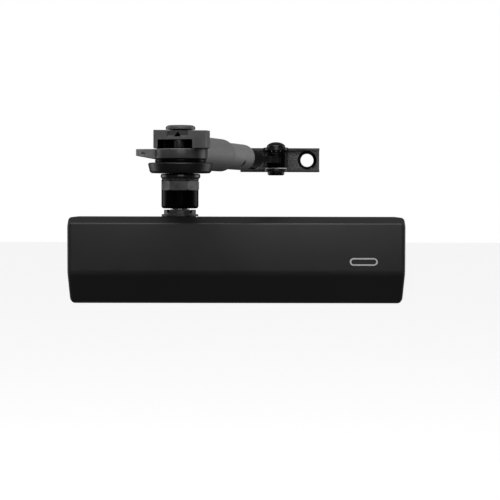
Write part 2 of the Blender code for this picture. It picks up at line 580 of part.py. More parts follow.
def make_rod(forearm):
    """The adjusting rod: it slides in the tube and ends in the eye that turns on the bracket's pin."""
    profile = [(0, 78.0), (ROD_RADIUS - 0.8, 78.0), (ROD_RADIUS, 78.8), (ROD_RADIUS, ROD_END - 1.6)]
    profile += [(ROD_RADIUS - 1.6, ROD_END), (0, ROD_END)]
    rod = solid("adjusting_rod", lying_x(turned(profile, 24), 0, 0, FOREARM_Z), "black_steel", forearm)
    neck = block((ROD_END - 4.0, -5.2, FOREARM_Z - 2.4), (FOREARM_LENGTH - 5.0, 5.2, FOREARM_Z + 2.4))
    join(rod, neck, standing(disc(EYE_RADIUS, EYE_LOW, EYE_TOP, 24, 0.7), FOREARM_LENGTH))
    cut(rod, standing(disc(4.4, EYE_LOW - 5.0, EYE_TOP + 5.0, COARSE), FOREARM_LENGTH))


def make_shoe(pivot):
    """The frame bracket: a base plate with two screw holes, shallow rims, and two ears that hold the rivet."""
    low, high = SHOE_Z - SHOE_HEIGHT / 2, SHOE_Z + SHOE_HEIGHT / 2
    base_y, face_y, rim_y = PIVOT_TO_WALL, PIVOT_TO_WALL - 3.0, PIVOT_TO_WALL - 5.6
    rim = 1.9
    plate = block((SHOE_LEFT, face_y, low), (SHOE_RIGHT, base_y, high))
    shoe = solid("frame_bracket", plate, "black_steel", pivot)
    for z0, z1 in ((low, low + rim), (high - rim, high)):
        ear = [(-9.3, face_y + 1.0), (-9.3, rim_y), *arc(0, 0, 8.8, 180, 360, 10), (9.3, rim_y), (9.3, face_y + 1.0)]
        join(shoe, block((SHOE_LEFT, rim_y, z0), (SHOE_RIGHT, face_y + 1.0, z1)), prism(ear, z0, z1))
    middle = (SHOE_LEFT + SHOE_RIGHT) / 2
    for side in (-1, 1):
        x = middle + side * SHOE_HOLE_SPACING / 2
        sink = turned([(0, -8.0), (6.9, -8.0), (6.9, -3.0), (4.75, -1.2), (4.75, 5.0), (0, 5.0)], 24)
        cut(shoe, lying_y(sink, x, base_y, SHOE_Z))
    cut(shoe, disc(4.3, low - 5.0, high + 5.0, COARSE))
    dome = [(6.8 * math.cos(a), high + GAP + 3.7 * math.sin(a)) for a in [math.pi / 2 * k / 5 for k in range(6)]]
    dome[-1] = (0, high + GAP + 3.7)
    rivet = [(0, low - 2.6), (5.2, low - 2.6), (6.1, low - 1.8), (6.1, low - GAP), (4.0, low - GAP)]
    rivet += [(4.0, high + GAP), *dome]
    solid("bracket_rivet", turned(rivet, 24), "black_steel", pivot)
    solid("pivot_washer", tube(4.4, 7.0, low + rim + 0.1, EYE_LOW - 0.1, 24), "nylon", pivot)


def main():
    clear_scene()
    make_cover()
    make_casting()
    make_feet()
    make_valves()
    make_end_plugs()
    make_power_adjuster()
    make_closing_spring()
    make_piston()
    arm = empty("spindle_axis", SPINDLE_X, AXIS_Y, MAIN_ARM_ANGLE)
    make_spindle(arm)
    make_spindle_housing()
    make_main_arm(arm)
    make_elbow(arm)
    make_cam_plate(arm)
    elbow_x = SPINDLE_X + MAIN_ARM_LENGTH * math.cos(MAIN_ARM_ANGLE)
    elbow_y = AXIS_Y + MAIN_ARM_LENGTH * math.sin(MAIN_ARM_ANGLE)
    forearm = empty("elbow_axis", elbow_x, elbow_y, FOREARM_ANGLE)
    make_forearm(forearm)
    make_rod(forearm)
    pivot_x = elbow_x + FOREARM_LENGTH * math.cos(FOREARM_ANGLE)
    pivot_y = elbow_y + FOREARM_LENGTH * math.sin(FOREARM_ANGLE)
    make_shoe(empty("bracket_axis", pivot_x, pivot_y))


main()
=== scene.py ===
"""Looks for the door closer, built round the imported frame: finer meshes, materials, floor, light and camera.

Lengths are millimetres until place() puts a piece in the frame, which is in metres.
"""

import json
import math

import bmesh
import bpy
from mathutils import Matrix, Vector


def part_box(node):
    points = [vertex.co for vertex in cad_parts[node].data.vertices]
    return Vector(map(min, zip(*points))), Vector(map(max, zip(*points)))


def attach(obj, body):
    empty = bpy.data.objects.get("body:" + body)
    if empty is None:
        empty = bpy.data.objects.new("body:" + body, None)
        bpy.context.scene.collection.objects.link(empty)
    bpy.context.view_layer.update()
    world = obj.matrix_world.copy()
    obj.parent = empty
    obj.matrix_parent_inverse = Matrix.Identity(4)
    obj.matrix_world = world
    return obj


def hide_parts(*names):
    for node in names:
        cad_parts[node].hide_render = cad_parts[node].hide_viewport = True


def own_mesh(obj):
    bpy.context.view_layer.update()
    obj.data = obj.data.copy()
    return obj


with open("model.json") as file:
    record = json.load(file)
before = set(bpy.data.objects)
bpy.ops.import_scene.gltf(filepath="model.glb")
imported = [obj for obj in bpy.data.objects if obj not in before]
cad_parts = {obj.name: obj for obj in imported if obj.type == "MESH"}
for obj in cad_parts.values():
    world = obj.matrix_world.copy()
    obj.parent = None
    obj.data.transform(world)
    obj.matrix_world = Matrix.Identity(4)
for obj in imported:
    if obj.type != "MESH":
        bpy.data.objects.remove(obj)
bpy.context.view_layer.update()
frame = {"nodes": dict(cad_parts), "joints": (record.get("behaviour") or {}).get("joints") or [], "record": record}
MM = 0.001
SHARP_ANGLE = math.radians(34)  # edges sharper than this stay hard


# ---------------------------------------------------------------- camera, floor and light


def make_camera():
    camera = bpy.data.objects.new("camera", bpy.data.cameras.new("camera"))
    bpy.context.scene.collection.objects.link(camera)
    camera.data.sensor_width, camera.data.lens = 36.0, 101.3
    camera.location = (0.0, -1.032, 0.043)
    yaw, down, roll = math.radians(-0.55), math.radians(2.083), math.radians(0.13)
    level = Matrix.Rotation(yaw, 4, "Z") @ Matrix.Rotation(math.pi / 2 - down, 4, "X")
    camera.rotation_euler = (level @ Matrix.Rotation(roll, 4, "Z")).to_euler()
    camera.data.clip_start, camera.data.clip_end = 0.05, 30.0
    bpy.context.scene.camera = camera


def area_light(name, place, aim, size, power, size_y=None):
    data = bpy.data.lights.new(name, "AREA")
    data.energy, data.size = power, size
    if size_y:
        data.shape, data.size_y = "RECTANGLE", size_y
    lamp = bpy.data.objects.new(name, data)
    lamp.location = place
    lamp.rotation_euler = (Vector(aim) - Vector(place)).to_track_quat("-Z", "Y").to_euler()
    bpy.context.scene.collection.objects.link(lamp)


def make_world():
    """White where the camera looks past the object. The object itself sees a dark studio, a little lighter
    overhead, with a softbox behind each shoulder."""
    world = bpy.data.worlds.new("studio")
    bpy.context.scene.world = world
    world.use_nodes = True
    nodes, links = world.node_tree.nodes, world.node_tree.links
    nodes.clear()

    def math_node(kind, first, second, clamp=False):
        made = nodes.new("ShaderNodeMath")
        made.operation, made.use_clamp = kind, clamp
        for socket, value in zip(made.inputs, (first, second)):
            if isinstance(value, (int, float)):
                socket.default_value = value
            else:
                links.new(value, socket)
        return made.outputs[0]

    def ramp(value, low, high, strength):
        made = nodes.new("ShaderNodeMapRange")
        made.interpolation_type = "SMOOTHSTEP"
        made.inputs["From Min"].default_value, made.inputs["From Max"].default_value = low, high
        made.inputs["To Max"].default_value = strength
        links.new(value, made.inputs["Value"])
        return made.outputs[0]

    direction = nodes.new("ShaderNodeTexCoord").outputs["Generated"]
    apart = nodes.new("ShaderNodeSeparateXYZ")
    links.new(direction, apart.inputs[0])
    x, y, z = apart.outputs
    sideways = math_node("ABSOLUTE", x, 0)
    total = math_node("MULTIPLY", ramp(y, -0.1, 0.5, 1.0), ramp(sideways, 0.64, 0.85, 1.4))
    total = math_node("ADD", total, ramp(z, 0.25, 0.9, 0.12))
    total = math_node("MULTIPLY", total, ramp(z, -0.75, 0.05, 1.0))
    total = math_node("ADD", total, 0.065)
    studio = nodes.new("ShaderNodeBackground")
    white = nodes.new("ShaderNodeBackground")
    studio.inputs["Color"].default_value = white.inputs["Color"].default_value = (1, 1, 1, 1)
    links.new(total, studio.inputs["Strength"])
    mix = nodes.new("ShaderNodeMixShader")
    links.new(nodes.new("ShaderNodeLightPath").outputs["Is Camera Ray"], mix.inputs[0])
    links.new(studio.outputs[0], mix.inputs[1])
    links.new(white.outputs[0], mix.inputs[2])
    links.new(mix.outputs[0], nodes.new("ShaderNodeOutputWorld").inputs["Surface"])


def make_studio():
    """A pale floor below the closer, a long key light over it and a softer light in front."""
    bpy.context.scene.view_settings.view_transform = "Standard"
    make_world()
    floor_size, floor_height = 24.0, -0.36
    bpy.ops.mesh.primitive_plane_add(size=floor_size, location=(0, 0, floor_height))
    floor = bpy.context.object
    floor.name = "studio_floor"
    floor.visible_diffuse = floor.visible_glossy = False
    paper = bpy.data.materials.new("floor_paper")
    paper.use_nodes = True
    shader = paper.node_tree.nodes["Principled BSDF"]
    shader.inputs["Base Color"].default_value = (0.93, 0.93, 0.93, 1)
    shader.inputs["Roughness"].default_value = 0.95
    shader.inputs["Emission Color"].default_value = (1, 1, 1, 1)
    shader.inputs["Emission Strength"].default_value = 0.72
    floor.data.materials.append(paper)
    aim = (0, -0.06, 0.02)
    area_light("key", (-0.1, -1.3, 1.5), aim, size=2.2, power=16.0, size_y=0.45)
    area_light("front", (0.15, -2.6, 0.85), aim, size=1.5, power=11.0)


# ---------------------------------------------------------------- materials


class Material:
    """A Principled material with helpers that wire procedural detail to it."""

    def __init__(self, name, colour, roughness, metallic=0.0):
        self.data = bpy.data.materials.new(name)
        self.data.use_nodes = True
        self.nodes, self.links = self.data.node_tree.nodes, self.data.node_tree.links
        self.shader = self.nodes["Principled BSDF"]
        self.shader.inputs["Metallic"].default_value = metallic
        self.shader.inputs["Base Color"].default_value = (*colour, 1)
        self.shader.inputs["Roughness"].default_value = roughness
        self.place = self.nodes.new("ShaderNodeTexCoord").outputs["Object"]

    def noise(self, scale, detail=2.0, stretch=(1, 1, 1)):
        mapping = self.nodes.new("ShaderNodeMapping")
        mapping.inputs["Scale"].default_value = stretch
        self.links.new(self.place, mapping.inputs["Vector"])
        made = self.nodes.new("ShaderNodeTexNoise")
        made.inputs["Scale"].default_value = scale
        made.inputs["Detail"].default_value = detail
        self.links.new(mapping.outputs[0], made.inputs["Vector"])
        return made.outputs["Fac"]

    def cells(self, scale):
        made = self.nodes.new("ShaderNodeTexVoronoi")
        made.inputs["Scale"].default_value = scale
        self.links.new(self.place, made.inputs["Vector"])
        return made.outputs["Distance"]

    def ramp(self, value, low, high, start=0.35, end=0.65):
        made = self.nodes.new("ShaderNodeMapRange")
        made.inputs["From Min"].default_value, made.inputs["From Max"].default_value = start, end
        made.inputs["To Min"].default_value, made.inputs["To Max"].default_value = low, high
        self.links.new(value, made.inputs["Value"])
        return made.outputs[0]

    def vary_roughness(self, value, low, high, start=0.35, end=0.65):
        self.links.new(self.ramp(value, low, high, start, end), self.shader.inputs["Roughness"])

    def vary_colour(self, value, first, second, start=0.35, end=0.65):
        mix = self.nodes.new("ShaderNodeMix")
        mix.data_type = "RGBA"
        self.links.new(self.ramp(value, 0.0, 1.0, start, end), mix.inputs["Factor"])
        mix.inputs["A"].default_value, mix.inputs["B"].default_value = (*first, 1), (*second, 1)
        self.links.new(mix.outputs["Result"], self.shader.inputs["Base Color"])
        return mix

    def bump(self, value, distance, strength=1.0):
        made = self.nodes.new("ShaderNodeBump")
        made.inputs["Distance"].default_value = distance * MM
        made.inputs["Strength"].default_value = strength
        self.links.new(value, made.inputs["Height"])
        previous = self.shader.inputs["Normal"].links
        if previous:
            self.links.new(previous[0].from_socket, made.inputs["Normal"])
        self.links.new(made.outputs[0], self.shader.inputs["Normal"])


def grey(value, tint=0.0):
    return (value, value, value * (1 + tint))


def moulded_plastic():
    made = Material("cover_plastic", grey(0.03, 0.03), 0.36)
    made.vary_colour(made.noise(14.0, 3.0), grey(0.028, 0.03), grey(0.032, 0.03))
    made.vary_roughness(made.noise(60.0, 3.0), 0.33, 0.39)
    made.bump(made.noise(2600.0, 2.0), 0.012)
    return made


def black_paint(name="black_steel", value=0.012, low=0.22, high=0.34, gloss=0.5):
    """Satin paint or blacked steel. value is its lightness, and low and high bound its roughness."""
    made = Material(name, grey(value), low)
    made.shader.inputs["Specular IOR Level"].default_value = gloss
    made.vary_colour(made.noise(90.0, 3.0), grey(value * 0.85), grey(value * 1.2))
    made.vary_roughness(made.noise(160.0, 3.0), low, high)
    made.bump(made.noise(420.0, 2.0), 0.03)
    return made


def satin_grey(name="grey_tube", value=0.39):
    """Zinc flake paint: a fine sparkle over faint rings left by turning."""
    made = Material(name, grey(value), 0.5, 0.25)
    made.vary_colour(made.noise(1500.0, 2.0), grey(value * 0.82), grey(value * 1.2))
    made.vary_roughness(made.noise(300.0, 3.0), 0.42, 0.56)
    made.bump(made.noise(1700.0, 3.0), 0.04)
    made.bump(made.noise(420.0, 1.0, (0.3, 1.0, 0.02)), 0.05)
    return made


def zinc_black(name="black_zinc", value=0.045):
    made = Material(name, grey(value), 0.36, 0.55)
    made.vary_colour(made.noise(220.0, 4.0), grey(value * 0.8), grey(value * 1.25))
    made.vary_roughness(made.noise(500.0, 3.0), 0.3, 0.42)
    made.bump(made.noise(900.0, 2.0), 0.015)
    return made


def speckled_paint():
    made = Material("bracket_paint", grey(0.04), 0.45)
    made.vary_colour(made.noise(1300.0, 1.0), grey(0.03), grey(0.26), 0.42, 0.7)
    made.vary_roughness(made.noise(700.0, 2.0), 0.36, 0.55)
    made.bump(made.noise(1100.0, 2.0), 0.05)
    return made


def cast_aluminium():
    made = Material("cast_aluminium", grey(0.4, 0.02), 0.5, 0.9)
    made.vary_colour(made.noise(120.0, 4.0), grey(0.33, 0.02), grey(0.46, 0.02))
    made.vary_roughness(made.noise(350.0, 3.0), 0.45, 0.62)
    made.bump(made.noise(500.0, 3.0), 0.12)
    made.bump(made.cells(900.0), 0.04)
    return made


def ground_steel(name="bright_steel", value=0.5):
    made = Material(name, grey(value, 0.015), 0.25, 1.0)
    made.vary_colour(made.noise(40.0, 3.0), grey(value * 0.9, 0.015), grey(value * 1.12, 0.015))
    made.vary_roughness(made.noise(260.0, 3.0), 0.2, 0.34)
    made.bump(made.noise(1500.0, 2.0, (0.05, 1, 1)), 0.01)
    return made


def sintered_bronze():
    made = Material("bronze", (0.45, 0.3, 0.13), 0.42, 1.0)
    made.vary_colour(made.noise(900.0, 2.0), (0.36, 0.23, 0.1), (0.52, 0.36, 0.17))
    made.vary_roughness(made.noise(600.0, 2.0), 0.35, 0.55)
    made.bump(made.cells(1600.0), 0.02)
    return made


def soft_rubber():
    made = Material("rubber", grey(0.018), 0.75)
    made.vary_colour(made.noise(300.0, 2.0), grey(0.014), grey(0.024))
    made.vary_roughness(made.noise(500.0, 2.0), 0.65, 0.85)
    made.bump(made.noise(1500.0, 2.0), 0.02)
    return made


def natural_nylon():
    made = Material("nylon", (0.88, 0.87, 0.85), 0.45)
    made.vary_colour(made.noise(200.0, 2.0), (0.86, 0.85, 0.83), (0.92, 0.91, 0.89))
    made.vary_roughness(made.noise(400.0, 2.0), 0.4, 0.55)
    made.bump(made.noise(900.0, 2.0), 0.01)
    return made


def white_print():
    made = Material("white_print", grey(0.8), 0.5)
    made.vary_colour(made.noise(800.0, 2.0), grey(0.72), grey(0.84))
    made.vary_roughness(made.noise(600.0, 2.0), 0.4, 0.6)
    return made


LOOKS = {
    "cover_plastic": moulded_plastic(),
    "cast_aluminium": cast_aluminium(),
    "bright_steel": ground_steel(),
    "black_steel": black_paint(),
    "grey_tube": satin_grey(),
    # the tube's grey paint, made darker as painted shade for the forearm head's socket
    "socket_painted_shade": satin_grey("socket_painted_shade", 0.31),
    "bronze": sintered_bronze(),
    "rubber": soft_rubber(),
    "nylon": natural_nylon(),
    "black_zinc": zinc_black(value=0.12),
    "bracket_paint": speckled_paint(),
    "arm_paint": black_paint("arm_paint", 0.003, 0.12, 0.2, 0.06),
    "plate_paint": black_paint("plate_paint", 0.065, 0.28, 0.4),
    # a lighter copy of plate_paint: painted highlight on the hold-open plate's tab and top edge
    "plate_painted_highlight": black_paint("plate_painted_highlight", 0.24, 0.28, 0.4),
    "disc_paint": black_paint("disc_paint", 0.004, 0.28, 0.4, 0.7),
    # a lighter, glossier copy of arm_paint: painted sheen on the main arm's eye
    "eye_painted_sheen": black_paint("eye_painted_sheen", 0.006, 0.2, 0.3, 1.0),
    "bolt_steel": black_paint("bolt_steel", 0.13, 0.2, 0.32),
    "head_paint": black_paint("head_paint", 0.14, 0.3, 0.42),
    "rod_steel": black_paint("rod_steel", 0.004, 0.1, 0.16, 0.5),
    "roller_steel": zinc_black("roller_steel", 0.05),
    "rim_darker": black_paint("rim_darker", 0.014, 0.2, 0.32),
    "nut_zinc": zinc_black("nut_zinc", 0.1),
    "spring_steel": ground_steel("spring_steel", 0.22),
    "white_print": white_print(),
}


SLOTS = {part["node"]: part["material_slot"] for part in frame["record"]["subparts"]}


def finish_cad_nodes():
    for name, node in frame["nodes"].items():
        node.data.materials.clear()
        node.data.materials.append(LOOKS[SLOTS[name]].data)
        node.data.shade_smooth()
        node.data.set_sharp_from_angle(angle=SHARP_ANGLE)


# ---------------------------------------------------------------- shapes, in millimetres


def lathe(points, steps=96):
    """A solid turned about Z. points are (radius, height) or (radius, height, fillet) round a closed section,
    or from the axis back to the axis."""
    profile = fillet(points, closed=points[0][0] > 1e-6)
    shape = bmesh.new()
    rings = []
    for radius, height in profile:
        if radius < 1e-6:
            rings.append([shape.verts.new((0, 0, height))])
            continue
        turns = [2 * math.pi * k / steps for k in range(steps)]
        rings.append([shape.verts.new((radius * math.cos(a), radius * math.sin(a), height)) for a in turns])
    hollow = len(rings[0]) > 1
    for k in range(len(rings) - (0 if hollow else 1)):
        lower, upper = rings[k], rings[(k + 1) % len(rings)]
        for i in range(steps):
            j = (i + 1) % steps
            corners = [lower[i % len(lower)], lower[j % len(lower)]]
            corners += [upper[j % len(upper)], upper[i % len(upper)]]
            shape.faces.new(list(dict.fromkeys(corners)))
    return shape


def fillet(points, closed=True, steps=4):
    """The outline with each corner that has a third value rounded to that radius."""
    result = []
    count = len(points)
    for i, point in enumerate(points):
        here = Vector(point[:2])
        radius = point[2] if len(point) > 2 else 0.0
        if radius <= 0 or (not closed and i in (0, count - 1)):
            result.append(tuple(here))
            continue
        before, after = Vector(points[i - 1][:2]) - here, Vector(points[(i + 1) % count][:2]) - here
        half = before.angle(after) / 2
        reach = min(radius / math.tan(half), before.length * 0.49, after.length * 0.49)
        radius = reach * math.tan(half)
        centre = here + (before.normalized() + after.normalized()).normalized() * radius / math.sin(half)
        first = here + before.normalized() * reach - centre
        last = here + after.normalized() * reach - centre
        sweep = first.angle_signed(last)
        for k in range(steps + 1):
            spoke = first.copy()
            spoke.rotate(Matrix.Rotation(-sweep * k / steps, 2))
            result.append(tuple(centre + spoke))
    return result


def prism(outline, low, high, steps=4):
    """A solid of one outline in X and Y between two heights."""
    shape = bmesh.new()
    face = shape.faces.new([shape.verts.new((x, y, low)) for x, y in fillet(outline, True, steps)])
    top = bmesh.ops.extrude_face_region(shape, geom=[face])["geom"]
    lifted = [v for v in top if isinstance(v, bmesh.types.BMVert)]
    bmesh.ops.translate(shape, verts=lifted, vec=(0, 0, high - low))
    return shape


def block(low, high):
    (x0, y0, z0), (x1, y1, z1) = low, high
    return prism([(x0, y0), (x1, y0), (x1, y1), (x0, y1)], z0, z1)


def disc(radius, low, high, steps=64):
    return lathe([(0, low), (radius, low), (radius, high), (0, high)], steps)


def arc(cx, cy, radius, start, end, steps):
    """Points round a centre, from start to end in degrees."""
    angles = [math.radians(start + (end - start) * k / steps) for k in range(steps + 1)]
    return [(cx + radius * math.cos(a), cy + radius * math.sin(a)) for a in angles]


def polygon(sides, across_flats, turn=0.0):
    radius = across_flats / 2 / math.cos(math.pi / sides)
    angles = [turn + 2 * math.pi * (k + 0.5) / sides for k in range(sides)]
    return [(radius * math.cos(a), radius * math.sin(a)) for a in angles]


ALONG_X = Matrix.Rotation(math.pi / 2, 4, "Y")
ALONG_Y = Matrix.Rotation(-math.pi / 2, 4, "X")
UPRIGHT_X = Matrix.Rotation(math.pi / 2, 4, "X")  # an outline's Y becomes Z, and its heights run along -Y


def moved(shape, matrix):
    shape.transform(matrix)
    return shape


def at(x=0.0, y=0.0, z=0.0):
    return Matrix.Translation((x, y, z))


def to_object(name, *shapes):
    """One object, in millimetres, of the shapes as separate closed bodies."""
    whole = bmesh.new()
    for shape in shapes:
        shape.normal_update()
        bmesh.ops.recalc_face_normals(shape, faces=shape.faces)
        mesh = bpy.data.meshes.new(name)
        shape.to_mesh(mesh)
        shape.free()
        whole.from_mesh(mesh)
        bpy.data.meshes.remove(mesh)
    mesh = bpy.data.meshes.new(name)
    whole.to_mesh(mesh)
    whole.free()
    made = bpy.data.objects.new(name, mesh)
    bpy.context.scene.collection.objects.link(made)
    return made


def settle(piece):
    """Applies the piece's modifiers."""
    bpy.context.view_layer.update()
    graph = bpy.context.evaluated_depsgraph_get()
    mesh = bpy.data.meshes.new_from_object(piece.evaluated_get(graph))
    piece.modifiers.clear()
    piece.data = mesh
    return piece


def combine(piece, operation, *shapes):
    for shape in shapes:
        tool = to_object(f"{piece.name}_tool", shape)
        modifier = piece.modifiers.new("combine", "BOOLEAN")
        modifier.operation, modifier.solver, modifier.object = operation, "EXACT", tool
        settle(piece)
        bpy.data.objects.remove(tool, do_unlink=True)
    return piece


def cut(piece, *shapes):
    return combine(piece, "DIFFERENCE", *shapes)


def join(piece, *shapes):
    return combine(piece, "UNION", *shapes)


def bevel(piece, width, segments=3, angle=32):
    modifier = piece.modifiers.new("bevel", "BEVEL")
    modifier.width, modifier.segments = width, segments
    modifier.limit_method, modifier.angle_limit = "ANGLE", math.radians(angle)
    modifier.use_clamp_overlap = True
    modifier.miter_outer = "MITER_ARC"
    return settle(piece)


def forge(piece, voxel=0.5, smooth=8):
    """Melts overlapping bodies into one skin with rounded edges, as a forging or casting has."""
    remesh = piece.modifiers.new("remesh", "REMESH")
    remesh.mode, remesh.voxel_size = "VOXEL", voxel
    soften = piece.modifiers.new("soften", "SMOOTH")
    soften.factor, soften.iterations = 0.5, smooth
    return settle(piece)


def place(piece, look, body, *nodes, matrix=None, slot=None, sharp=SHARP_ANGLE):
    """Puts the piece in the frame, in metres, on its body, and lets it stand for the CAD nodes named."""
    piece.data.transform(Matrix.Scale(MM, 4) @ (matrix or Matrix.Identity(4)))
    piece.data.materials.clear()
    piece.data.materials.append(LOOKS[look].data)
    piece.data.shade_smooth()
    piece.data.set_sharp_from_angle(angle=sharp)
    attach(piece, body)
    if nodes:
        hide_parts(*nodes)
    return piece


def paint_part(piece, look, chosen):
    """Gives another look to the faces whose middle, in millimetres, is chosen."""
    piece.data.materials.append(LOOKS[look].data)
    for face in piece.data.polygons:
        if chosen(face.center / MM):
            face.material_index = len(piece.data.materials) - 1


# ---------------------------------------------------------------- the frame's places, in millimetres


def joint(name):
    return next(j for j in frame["joints"] if j["name"] == name)


def joint_place(name):
    return Vector(joint(name)["pos_m"]) / MM


def span(node, axis=2):
    low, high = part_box(node)
    return low[axis] / MM, high[axis] / MM


SPINDLE = joint_place("spindle_turn")
ELBOW = joint_place("elbow")
PIVOT = joint_place("bracket_swivel")
REACH = ELBOW - SPINDLE
MAIN_LENGTH = Vector(REACH[:2]).length
FOREARM_LENGTH = Vector((PIVOT - ELBOW)[:2]).length
FOREARM_AXIS = Vector(joint("rod_length")["axis"])
MAIN_TURN = Matrix.Rotation(math.atan2(REACH.y, REACH.x), 4, "Z")
FOREARM_TURN = Matrix.Rotation(math.atan2(FOREARM_AXIS.y, FOREARM_AXIS.x), 4, "Z")
AT_SPINDLE = at(SPINDLE.x, SPINDLE.y)
ON_MAIN = AT_SPINDLE @ MAIN_TURN
AT_EYE = ON_MAIN @ at(MAIN_LENGTH)
AT_ELBOW = at(ELBOW.x, ELBOW.y)
ON_FOREARM = AT_ELBOW @ FOREARM_TURN
AT_PIVOT = at(PIVOT.x, PIVOT.y)
FOREARM_Z = PIVOT.z
# These two are places on the forearm, before ON_FOREARM puts them in the frame.
ON_BORE = at(0, 0, FOREARM_Z) @ ALONG_X
AT_ROLLER = at(-10.0, -2.9)


# ---------------------------------------------------------------- cover


def cover_profile(inset):
    """The cover's section as (y, z), scaled in by inset towards its middle."""
    bottom, top = span("cover")
    front, back = span("cover", 1)
    outline = [
        (back, top),
        (front + 6.2, top, 2.6),
        (front + 0.1, top - 4.1, 2.2),
        (front + 0.4, -9.4, 7.5),
        (front + 17.6, bottom + 1.4, 4.0),
        (front + 23.0, bottom, 3.0),
        (back, bottom),
    ]
    middle_y, middle_z = front / 2, (top + bottom) / 2
    scale_y, scale_z = 1 + 2 * inset / front, 1 - 2 * inset / (top - bottom)
    rounded = fillet(outline, False, 6)
    return [(middle_y + (y - middle_y) * scale_y, middle_z + (z - middle_z) * scale_z) for y, z in rounded]


def cover_block(wall, back, rounding=3.2, steps=6):
    """The cover's solid, drawn in by wall on every side but the back, with rounded ends."""
    left, right = span("cover", 0)
    middle, half = (left + right) / 2, (right - left) / 2 - wall
    turns = [math.radians(90 * k / steps) for k in range(steps + 1)]
    ends = [(half - rounding + rounding * math.sin(a), rounding * (1 - math.cos(a))) for a in turns]
    shape = bmesh.new()
    loops = []
    for x, inset in [(-x, inset) for x, inset in reversed(ends)] + ends:
        section = cover_profile(wall + inset)
        section[0], section[-1] = (back, section[0][1]), (back, section[-1][1])
        loops.append([shape.verts.new((middle + x, y, z)) for y, z in section])
    for near, far in zip(loops, loops[1:]):
        count = len(near)
        for i in range(count):
            shape.faces.new([near[i], near[(i + 1) % count], far[(i + 1) % count], far[i]])
    shape.faces.new(loops[0])
    shape.faces.new(loops[-1])
    return shape


def make_cover():
    """The moulded shell, open at the back, with a slot at the top that lets it slide off the gland."""
    wall, behind = 2.0, 5.0  # the cutters run out behind the cover's open back
    cover = to_object("cover_moulding", cover_block(0.0, span("cover", 1)[1]))
    radius = 12.4
    slot = [(SPINDLE.x + radius, behind), (SPINDLE.x - radius, behind)]
    slot += arc(SPINDLE.x, SPINDLE.y, radius, 180, 360, 32)
    cut(cover, cover_block(wall, behind), prism(slot, 20.0, 40.0))
    place(cover, "cover_plastic", "cover_shell", "cover")


def make_cover_mark():
    """A plain white ring printed near the cover's right end."""
    half_width, half_height, line = 9.8, 2.7, 1.0
    ring = to_object("cover_mark", capsule(half_width, half_height, 0.25))
    cut(ring, capsule(half_width - line, half_height - line, 2.0))
    front = span("cover", 1)[0]
    mark_place = at(89.2, front + 0.1, -1.0) @ ALONG_Y
    place(ring, "white_print", "cover_shell", matrix=mark_place, slot="cover_plastic")


def capsule(half_width, half_height, thick):
    run = half_width - half_height
    outline = arc(run, 0, half_height, -90, 90, 12) + arc(-run, 0, half_height, 90, 270, 12)
    return prism(outline, -thick, thick)


# ---------------------------------------------------------------- closer body


def make_gland():
    """The slotted nut and the ring that close the spindle's boss."""
    low, high = span("gland_nut")
    section = [
        (7.1, low), (10.6, low), (10.6, low + 1.7, 0.3), (11.4, low + 1.9, 0.3), (11.4, high, 0.5),
        (9.4, high, 0.3), (9.0, high - 0.7, 0.3), (7.1, high - 0.7),
    ]
    nut = to_object("gland_nut_turned", moved(lathe(section), AT_SPINDLE))
    for k in range(4):
        notch = block((8.4, -1.3, high - 2.3), (13.0, 1.3, high + 2.0))
        cut(nut, moved(notch, AT_SPINDLE @ Matrix.Rotation(math.radians(45 + 90 * k), 4, "Z")))
    place(bevel(nut, 0.18, 2), "black_zinc", "closer_body", "gland_nut")
    low, high = span("gland_ring")
    ring = lathe([(11.7, low, 0.2), (13.1, low, 0.3), (13.1, high, 0.5), (11.7, high, 0.3)])
    ring = to_object("gland_ring_turned", moved(ring, AT_SPINDLE))
    place(ring, "black_zinc", "closer_body", "gland_ring")


def make_spring():
    """Round wire, wound with a closed turn at each end and made at one length; the real spring shortens as the
    piston comes.
    """
    wire, turns, per_turn, sides = 1.85, 9, 56, 14
    low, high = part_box("closing_spring")
    start, end = low[0] / MM + wire + 0.05, high[0] / MM - wire - 0.05
    axis_y, middle = (low[1] + high[1]) / 2 / MM, 13.3
    closed_lift = 2.15 * wire
    open_rise = (end - start - 2 * closed_lift) / (turns - 2)
    shape = bmesh.new()
    loops = []
    for k in range(turns * per_turn + 1):
        turn = k / per_turn
        closed_turns = min(turn, 1.0) + max(turn - turns + 1, 0.0)
        open_turns = min(max(turn - 1.0, 0.0), turns - 2)
        x = start + closed_lift * closed_turns + open_rise * open_turns
        around = 2 * math.pi * turn
        loop = []
        for side in range(sides):
            angle = 2 * math.pi * side / sides
            radius = middle + wire * math.cos(angle)
            spot = (x + wire * math.sin(angle), axis_y + radius * math.cos(around), radius * math.sin(around))
            loop.append(shape.verts.new(spot))
        loops.append(loop)
    for near, far in zip(loops, loops[1:]):
        for i in range(sides):
            j = (i + 1) % sides
            shape.faces.new([near[i], near[j], far[j], far[i]])
    shape.faces.new(loops[0])
    shape.faces.new(loops[-1])
    spring = to_object("spring_wire", shape)
    place(spring, "spring_steel", "closer_body", "closing_spring")
    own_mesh(spring)


def make_left_plug():
    """The left end plug, with a groove for its o-ring and a hexagon drive."""
    low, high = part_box("left_end_plug")
    left, right, axis_y = low[0] / MM, high[0] / MM, (low[1] + high[1]) / 2 / MM
    groove = [(16.6, left + 3.6, 0.2), (14.4, left + 3.7), (14.4, left + 6.3), (16.6, left + 6.4, 0.2)]
    section = [(0, left), (16.6, left, 0.8), *groove, (16.6, right), (0, right)]
    plug = to_object("left_plug_turned", moved(lathe(section), at(0, axis_y) @ ALONG_X))
    cut(plug, moved(prism(polygon(6, 12.0), left - 5.0, left + 6.0), at(0, axis_y) @ ALONG_X))
    place(bevel(plug, 0.2, 2), "bright_steel", "closer_body", "left_end_plug")


# ---------------------------------------------------------------- main arm


def blade_outline(half_hub, half_eye, start, end):
    return [(start, -half_hub), (end, -half_eye), *arc(end, 0, half_eye, -90, 90, 40)[1:], (start, half_hub)]


BOLT_HOLE = 6.1  # radius of the elbow bolt's hole in every piece of the stack


